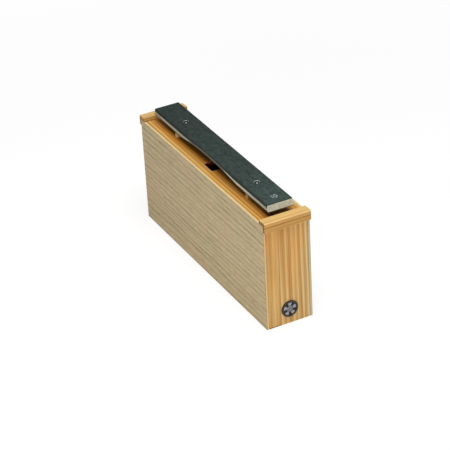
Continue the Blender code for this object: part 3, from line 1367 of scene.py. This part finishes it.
@dataclass
class GuidePins:
    """The steel pins that keep the bar in place, each in a soft black sleeve."""

    pin_radius: float = 0.0020
    tip: float = 0.0010
    shaft_ends: Range = (0.0004, 0.0012)
    foot_chamfer: float = 0.0003
    groove_depth: float = 0.00018
    groove_width: float = 0.00022
    groove_place: float = 0.0019
    sleeve_radius: float = 0.0033
    sleeve_bore: float = 0.0023
    steps: int = 64

    def dress(self) -> list[bpy.types.Object]:
        """Build the pins and sleeves.

        Returns:
            A pin and a sleeve for each end.
        """
        pieces = []
        for end in ENDS:
            pieces.append(self.pin(end))
            pieces.append(self.sleeve(end))
        return pieces

    def pin(self, end: str) -> bpy.types.Object:
        """Return a pin.

        Its profile is a straight shaft whose tip is a quarter ellipse. Below the tip runs a shallow
        groove, a bell curve of the height.

        Args:
            end: Which end of the bar it is under.

        Returns:
            The pin.
        """
        name = f"{end}_guide_pin"
        low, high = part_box(name)
        tall = high.z - low.z
        turn = np.linspace(0, np.pi / 2, 12)
        dome = np.stack(
            [self.pin_radius * np.cos(turn), tall - self.tip + self.tip * np.sin(turn)], axis=1
        )
        level = np.linspace(self.shaft_ends[0], tall - self.shaft_ends[1], 40)
        bell = np.exp(-(((level - tall + self.groove_place) / self.groove_width) ** 2))
        shaft = np.stack([self.pin_radius - self.groove_depth * bell, level], axis=1)
        foot = np.array([[0.0, 0.0], [self.pin_radius - self.foot_chamfer, 0.0]])
        return self.turned(name, f"{end}_steel_pin", np.concatenate([foot, shaft, dome]), SteelFinish)

    def sleeve(self, end: str) -> bpy.types.Object:
        """Return a sleeve: a tube whose wall ends in round lips, each a half circle.

        Args:
            end: Which end of the bar it is under.

        Returns:
            The sleeve.
        """
        name = f"{end}_pin_sleeve"
        low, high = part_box(name)
        tall = high.z - low.z
        lip = (self.sleeve_radius - self.sleeve_bore) / 2
        middle = (self.sleeve_radius + self.sleeve_bore) / 2
        turn = np.linspace(0, np.pi, 13)
        top = np.stack([middle + lip * np.cos(turn), tall - lip + lip * np.sin(turn)], axis=1)
        foot = np.stack([middle - lip * np.cos(turn), lip - lip * np.sin(turn)], axis=1)
        ring = np.concatenate([top, foot])
        return self.turned(name, f"{end}_rubber_sleeve", ring, RubberFinish, closed=True)

    def turned(
        self,
        node: str,
        name: str,
        profile: Numbers,
        finish: type[SteelFinish] | type[RubberFinish],
        closed: bool = False,
    ) -> bpy.types.Object:
        """Return a turned piece that replaces a CAD node.

        Args:
            node: The node it replaces.
            name: The piece's name.
            profile: Radius and height by row.
            finish: The class of its finish.
            closed: Whether the profile joins up with itself.

        Returns:
            The piece, riding on the box.
        """
        low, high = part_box(node)
        centre = (low + high) / 2
        skin = Skin()
        skin.patch(lathe(profile, self.steps, (centre.x, centre.y, low.z)), wrap=(True, closed))
        item = skin.piece(name, finish(f"{name}_finish").material(), 50.0)
        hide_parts(node)
        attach(item, BOX_BODY)
        return item


@dataclass
class SoundBar:
    """The tuned bar: flat top, slanted ends, an arched underside and two countersunk holes."""

    length: float = 0.436
    width: float = 0.050
    slant: float = 0.0045
    easing: float = 0.0007
    arch_length: float = 0.210
    arch_rise: float = 0.0068
    hole_place: float = 0.137
    hole_radius: float = 0.0039
    hole_easing: float = 0.00025
    sink_width: float = 0.0013
    sink_depth: float = 0.0013
    rim_drop: float = 0.00008
    neck_drop: float = 0.0001
    blends: tuple[float, ...] = (1.0, 0.7, 0.42, 0.2, 0.06, 0.0)
    across: int = 16
    turns: int = 4
    side_steps: int = 9
    arch_steps: int = 33
    outer_steps: int = 10
    under: float = field(init=False)
    top: float = field(init=False)

    def __post_init__(self) -> None:
        """Take the heights of the underside and the top from the CAD bar."""
        low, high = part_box("sound_bar")
        self.under, self.top = low.z, high.z

    def dress(self) -> list[bpy.types.Object]:
        """Build the bar with its finish.

        Returns:
            The bar alone.
        """
        skin = Skin()
        self.body(skin)
        for sign in (1.0, -1.0):
            self.hole(skin, sign * self.hole_place)
        finish = CoatedBarFinish(
            "coated_bar_metal",
            top=self.top,
            under=self.under,
            half_length=self.length / 2,
            half_width=self.width / 2,
            slant=self.slant / (self.top - self.under),
            hole_place=self.hole_place,
            hole_radius=self.hole_radius,
            sink_radius=self.hole_radius + self.sink_width,
            sink_depth=self.sink_depth,
            arch=(self.arch_length / 2, self.arch_rise),
        )
        item = skin.piece("coated_sound_bar", finish.material(), 38.0)
        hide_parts("sound_bar")
        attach(item, BAR_BODY)
        return [item]

    @property
    def flat(self) -> float:
        """Half the width of the flat top, inside its eased edges."""
        return self.width / 2 - self.easing

    def underside(self, x: Numbers) -> Numbers:
        """Return the height of the underside: a circular arc of the arch's rise, flat beyond it.

        Args:
            x: Places along the bar.

        Returns:
            Heights.
        """
        half = self.arch_length / 2
        radius = (half**2 + self.arch_rise**2) / (2 * self.arch_rise)
        inside = np.clip(radius**2 - x**2, 0, None)
        return self.under + np.maximum(np.sqrt(inside) - radius + self.arch_rise, 0.0)

    def stations(self) -> tuple[Numbers, Numbers, Numbers]:
        """Return places along the bar, with each one's inset and share of the end's slant.

        Returns:
            Places from the far end to the near end, insets in metres and shares from 0 to 1.
        """
        window = np.linspace(-self.flat, self.flat, self.across + 1) + self.hole_place
        middle = np.linspace(0, self.arch_length / 2, self.arch_steps)
        tip = self.length / 2 - self.easing
        outer = np.linspace(window[-1], tip, self.outer_steps)[1:]
        bend = np.linspace(0, np.pi / 2, self.turns + 1)[1:]
        half = np.concatenate([middle, window, outer, tip + self.easing * np.sin(bend)])
        inset = np.concatenate([0 * middle, 0 * window, 0 * outer, self.easing * (1 - np.cos(bend))])
        share = np.clip((half - window[-1]) / (tip - window[-1]), 0, 1)
        mirror = slice(None, 0, -1)
        places = np.concatenate([-half[mirror], half])
        return places, np.concatenate([inset[mirror], inset]), np.concatenate([share[mirror], share])

    def ring(self) -> tuple[Numbers, Numbers, Numbers, Numbers]:
        """Return the bar's section as shares, from the top round the right side, the bottom and back.

        Each face is a row of points, and between two faces comes a corner, a quarter circle.

        Returns:
            Share of the flat's half width, share of height, and the corner's two directions.
        """
        turn = np.linspace(0, np.pi / 2, self.turns + 1)[1:-1]
        row = np.linspace(-1, 1, self.across + 1)
        drop = np.linspace(1, 0, self.side_steps)
        one, sine, cosine = np.ones_like, np.sin(turn), np.cos(turn)
        parts = (
            (row, one(row), 0 * row, one(row)),
            (one(turn), one(turn), sine, cosine),
            (one(drop), drop, one(drop), 0 * drop),
            (one(turn), 0 * turn, cosine, -sine),
            (-row, 0 * row, 0 * row, -one(row)),
            (-one(turn), 0 * turn, -sine, -cosine),
            (-one(drop), drop[::-1], -one(drop), 0 * drop),
            (-one(turn), one(turn), -cosine, sine),
        )
        side, tall, out, up = (np.concatenate(part) for part in zip(*parts))
        return side, tall, out, up

    def body(self, skin: Skin) -> None:
        """Carry the section along the bar, leaving out the flats round the holes.

        At each station the section's corners are quarter circles of the easing. Towards the ends a
        growing share of the slant pushes points out by their depth below the top.

        Args:
            skin: The skin to add to.
        """
        x, inset, share = (part[:, None] for part in self.stations())
        side, tall, out, up = (part[None, :] for part in self.ring())
        radius = np.maximum(self.easing - inset, 0.0)
        y = side * (self.width / 2 - inset - radius) + out * radius
        base = self.underside(x) + inset + radius
        z = base + tall * (self.top - inset - radius - base) + up * radius
        lean = np.sign(x) * share * self.slant * (self.top - z) / (self.top - self.under)
        grid = np.stack([x + lean, y, z], axis=-1)
        centre_x = np.abs((x[:-1] + x[1:]) / 2)
        over_hole = np.abs(centre_x - self.hole_place) < self.flat
        number = np.arange(grid.shape[1])[None, :]
        bottom = self.across + 1 + 2 * (self.turns - 1) + self.side_steps
        on_flat = (number < self.across) | ((number >= bottom) & (number < bottom + self.across))
        index = skin.patch(grid, wrap=(False, True), drop=over_hole & on_flat)
        skin.cap(index[0])
        skin.cap(index[-1])

    def hole(self, skin: Skin, place: float) -> None:
        """Fill the flats round one hole and line the hole.

        Round the hole, rings go from the square of flats at the top in to the countersink, down its
        cone, down the bore and out over the bottom; each ring blends a circle into the square.

        Args:
            skin: The skin to add to.
            place: Where the hole is along the bar.
        """
        row = np.linspace(-1, 1, self.across + 1)[:-1]
        one = np.ones_like(row)
        square = np.stack(
            [np.concatenate([row, one, -row, -one]), np.concatenate([-one, row, one, -row])], axis=1
        )
        angle = np.linspace(0, 2 * np.pi, len(square), endpoint=False) - 3 * np.pi / 4
        circle = np.stack([np.cos(angle), np.sin(angle)], axis=1)
        rim = self.hole_radius + self.sink_width
        neck = self.top - self.sink_depth
        ease = self.hole_easing
        rings = [
            *((share, rim + ease, self.top) for share in self.blends),
            (0.0, rim, self.top - self.rim_drop),
            (0.0, rim - ease, self.top - ease),
            (0.0, self.hole_radius + ease, neck + ease),
            (0.0, self.hole_radius, neck - self.neck_drop),
            (0.0, self.hole_radius, self.under + ease),
            *((share, self.hole_radius + ease, self.under) for share in self.blends[::-1]),
        ]
        share, radius, height = (np.array(part)[:, None, None] for part in zip(*rings))
        plan = share * self.flat * square[None] + (1 - share) * radius * circle[None]
        level = np.broadcast_to(height, (*plan.shape[:2], 1))
        skin.patch(np.concatenate([plan + np.array((place, 0.0)), level], axis=2), wrap=(False, True))


@dataclass
class EndBadge:
    """The round badge low on the near end: a filled rim with beads and a field of plain rays."""

    radius: float = 0.0165
    thickness: float = 0.0022
    rim_width: float = 0.0032
    ridge_rise: float = 0.00052
    fill_lap: float = 0.0008
    field_radius: float = 0.0129
    field_depth: float = 0.0009
    boss_radius: float = 0.0060
    boss_rise: float = 0.0006
    groove: float = 0.0003
    groove_width: float = 0.0006
    beads: int = 28
    bead_radius: float = 0.0008
    rays: int = 5
    ray_rise: float = 0.00024
    ray_end: float = 0.0127
    ray_fade: float = 0.0008
    edge_chamfer: float = 0.0002
    edge_lip: float = 0.0001
    steps: int = 336
    rim_steps: int = 26
    field_steps: int = 60

    def dress(self) -> list[bpy.types.Object]:
        """Build the badge with its finish.

        Returns:
            The badge alone.
        """
        low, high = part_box("end_badge")
        centre = (low + high) / 2
        skin = Skin()
        skin.patch(self.relief(low.x, centre), wrap=(True, False))
        finish = BadgeFinish(
            "cast_badge_metal",
            centre=(centre.y, centre.z),
            face=low.x,
            rim=self.radius - self.rim_width - self.fill_lap,
            boss=self.boss_radius,
            field_height=self.level,
        )
        item = skin.piece("cast_end_badge", finish.material(), 60.0)
        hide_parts("end_badge")
        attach(item, BOX_BODY)
        return [item]

    @property
    def level(self) -> float:
        """How high the field stands over the end board."""
        return self.thickness - self.field_depth

    def relief(self, face: float, centre: Vector) -> Numbers:
        """Return the badge as a disc whose height varies with radius and angle.

        Args:
            face: Where the end board's face is.
            centre: The badge's centre.

        Returns:
            Points by angle and by step from the back's centre over the edge to the front's centre.
        """
        angle = np.linspace(0, 2 * np.pi, self.steps, endpoint=False)[:, None]
        over_rim = np.linspace(self.radius, self.field_radius, self.rim_steps)
        over_field = np.linspace(self.field_radius, 0.0, self.field_steps)[1:]
        spread = np.concatenate([over_rim, over_field])[None]
        back_spread = np.array([[0.0, self.radius - self.edge_chamfer, self.radius, self.radius]])
        back_height = np.array([[0.0, 0.0, self.edge_chamfer, self.level - self.edge_lip]])
        radius = np.concatenate([back_spread, spread], axis=1)
        back_height = np.broadcast_to(back_height, (self.steps, back_height.shape[1]))
        height = np.concatenate([back_height, self.front_height(spread, angle)], axis=1)
        points = [face + height, centre.y + radius * np.sin(angle), centre.z + radius * np.cos(angle)]
        return np.stack(points, axis=-1)

    def front_height(self, spread: Numbers, angle: Numbers) -> Numbers:
        """Return how high the front stands over the end board.

        The rim is a round ridge with beads, each a small dome by angle and radius. The field carries
        rays, a cosine of the angle that fades at both ends, round a low domed boss in a groove, which
        is a bell curve of the radius.

        Args:
            spread: Distances from the centre, in one row.
            angle: Angles round the centre, in one column.

        Returns:
            Heights by angle and distance.
        """
        crest = self.radius - self.rim_width / 2
        ridge = np.clip(1 - np.abs(spread - crest) / (self.rim_width / 2), 0, 1)
        wave = np.cos(self.beads * angle) * 0.5 + 0.5
        dome = np.clip(1 - ((spread - crest) / self.bead_radius) ** 2, 0, 1)
        dome = dome * np.clip(wave * 1.9 - 0.9, 0, 1)
        band = np.clip((spread - self.boss_radius) / self.ray_fade, 0, 1)
        band = band * np.clip((self.ray_end - spread) / self.ray_fade, 0, 1)
        ray = np.clip(np.cos(self.rays * angle) * 1.6, -1, 1)
        bell = np.exp(-(((spread - self.boss_radius) / self.groove_width) ** 2))
        boss = np.clip(1 - spread / self.boss_radius, 0, 1)
        height = self.level + self.ridge_rise * np.sqrt(ridge)
        height = height + (self.field_depth - self.ridge_rise) * np.sqrt(dome)
        height = height + self.ray_rise * ray * band
        height = height - self.groove * bell
        return height + self.boss_rise * np.sqrt(np.clip(1 - (1 - boss * 2.2).clip(0, 1) ** 2, 0, 1))


@dataclass
class Studio:
    """The plain white studio: a pale floor, two broad soft lights and the camera."""

    azimuth: float = 63.6263
    elevation: float = 30.4085
    roll: float = -3.2724
    focal_pixels: float = 1902.909
    image_pixels: int = 450
    sensor: float = 36.0
    view_reach: float = 50.0
    distance: float = 3.508
    target: tuple[float, float, float] = (0.0, 0.0, 0.11)
    offset: tuple[float, float] = (0.0020, -0.0235)
    key_from: tuple[float, float, float] = (0.16, -0.04, 1.0)
    key_distance: float = 2.2
    key_size: float = 2.2
    key_power: float = 55.0
    fill_from: tuple[float, float, float] = (0.80, -0.72, 0.15)
    fill_distance: float = 2.6
    fill_size: float = 0.9
    fill_power: float = 26.0
    ambient: float = 0.03
    floor_reach: float = 9.0
    floor_drop: float = 0.0003
    paper: Colour = (0.9, 0.9, 0.9)
    shadow_paper: Colour = (0.3, 0.3, 0.3)
    glow: float = 0.76
    white_from: Range = (0.35, 1.6)

    def set_up(self) -> None:
        """Add the camera, the floor, the lights and the world."""
        bpy.context.scene.view_settings.view_transform = "Standard"
        self.add_camera()
        self.add_floor()
        self.add_light("soft_key", self.key_from, self.key_distance, self.key_size, self.key_power)
        self.add_light("soft_fill", self.fill_from, self.fill_distance, self.fill_size, self.fill_power)
        self.add_world()

    def add_camera(self) -> None:
        """Add the camera on its sight line, turned by its roll about that line."""
        azimuth = math.radians(self.azimuth)
        elevation = math.radians(self.elevation)
        roll = math.radians(self.roll)
        flat = math.cos(elevation)
        back = Vector((math.sin(azimuth) * flat, -math.cos(azimuth) * flat, math.sin(elevation)))
        level = Vector((math.cos(azimuth), math.sin(azimuth), 0.0))
        upright = back.cross(level)
        right = level * math.cos(roll) + upright * math.sin(roll)
        up = upright * math.cos(roll) - level * math.sin(roll)
        place = Vector(self.target) + right * self.offset[0] + up * self.offset[1] + back * self.distance
        lens = bpy.data.cameras.new("studio_camera")
        lens.sensor_fit = "HORIZONTAL"
        lens.sensor_width = self.sensor
        lens.lens = self.focal_pixels / self.image_pixels * self.sensor
        lens.clip_end = self.view_reach
        camera = bpy.data.objects.new("studio_camera", lens)
        turned = Matrix((right, up, back)).transposed().to_4x4()
        camera.matrix_world = Matrix.Translation(place) @ turned
        bpy.context.scene.collection.objects.link(camera)
        bpy.context.scene.camera = camera

    def seen(self, recipe: Recipe) -> Wire:
        """Return 1 for rays from the camera, from gloss or through glass, and 0 for the rest."""
        path = recipe.node("ShaderNodeLightPath", output="Is Camera Ray")
        return path.most(path.also("Is Glossy Ray")).most(path.also("Is Transmission Ray"))

    def add_floor(self) -> None:
        """Add the floor: white where it is seen, a little darker in shadow, and matt to other rays."""
        reach = np.linspace(-self.floor_reach, self.floor_reach, 9)
        x, y = np.meshgrid(reach, reach, indexing="ij")
        recipe = new_recipe("studio_paper")
        matt = recipe.node("ShaderNodeBsdfDiffuse", inputs={"Color": self.paper})
        thin = recipe.node("ShaderNodeBsdfDiffuse", inputs={"Color": self.shadow_paper})
        glow = recipe.node("ShaderNodeEmission", inputs={"Color": WHITE, "Strength": self.glow})
        near = recipe.node("ShaderNodeAddShader", inputs={0: thin, 1: glow})
        white = recipe.node("ShaderNodeEmission", inputs={"Color": WHITE, "Strength": 1.0})
        along, across, _ = recipe.axes()
        away = ((along * along + across * across) ** 0.5).rise(*self.white_from)
        paper = recipe.node("ShaderNodeMixShader", inputs={0: away, 1: near, 2: white})
        mixed = recipe.node("ShaderNodeMixShader", inputs={0: self.seen(recipe), 1: matt, 2: paper})
        recipe.node("ShaderNodeOutputMaterial", inputs={"Surface": mixed})
        skin = Skin()
        skin.patch(np.stack([x, y, np.full_like(x, -self.floor_drop)], axis=-1))
        floor = skin.piece("studio_floor", recipe.owner)

    def add_light(
        self,
        name: str,
        side: tuple[float, float, float],
        distance: float,
        size: float,
        power: float,
    ) -> None:
        """Add a round soft light that faces the object.

        Args:
            name: The light's name.
            side: The direction that it stands in.
            distance: How far off it stands.
            size: How wide it is.
            power: How strong it is, in watts.
        """
        lamp = bpy.data.lights.new(name, "AREA")
        lamp.shape = "DISK"
        lamp.size = size
        lamp.energy = power
        direction = Vector(side).normalized()
        item = bpy.data.objects.new(name, lamp)
        item.location = Vector(self.target) + direction * distance
        item.rotation_euler = direction.to_track_quat("Z", "Y").to_euler()
        bpy.context.scene.collection.objects.link(item)

    def add_world(self) -> None:
        """Add the even light all round, white where it is seen."""
        world = bpy.data.worlds.new("studio_world")
        bpy.context.scene.world = world
        recipe = Recipe(world)
        strength = self.seen(recipe) * (1.0 - self.ambient) + self.ambient
        light = recipe.node("ShaderNodeBackground", inputs={"Color": WHITE, "Strength": strength})
        recipe.node("ShaderNodeOutputWorld", inputs={"Surface": light})


def main() -> None:
    """Dress each sub-assembly, log its pieces' face counts and set up the studio."""
    logging.basicConfig(level=logging.INFO, format="%(name)s: %(message)s")
    for assembly in (SoundBox(), EndRails(), BarSupports(), GuidePins(), SoundBar(), EndBadge()):
        for item in assembly.dress():
            LOG.info("%s: %s, %d faces", type(assembly).__name__, item.name, len(item.data.polygons))
    Studio().set_up()


if __name__ == "__main__":
    main()
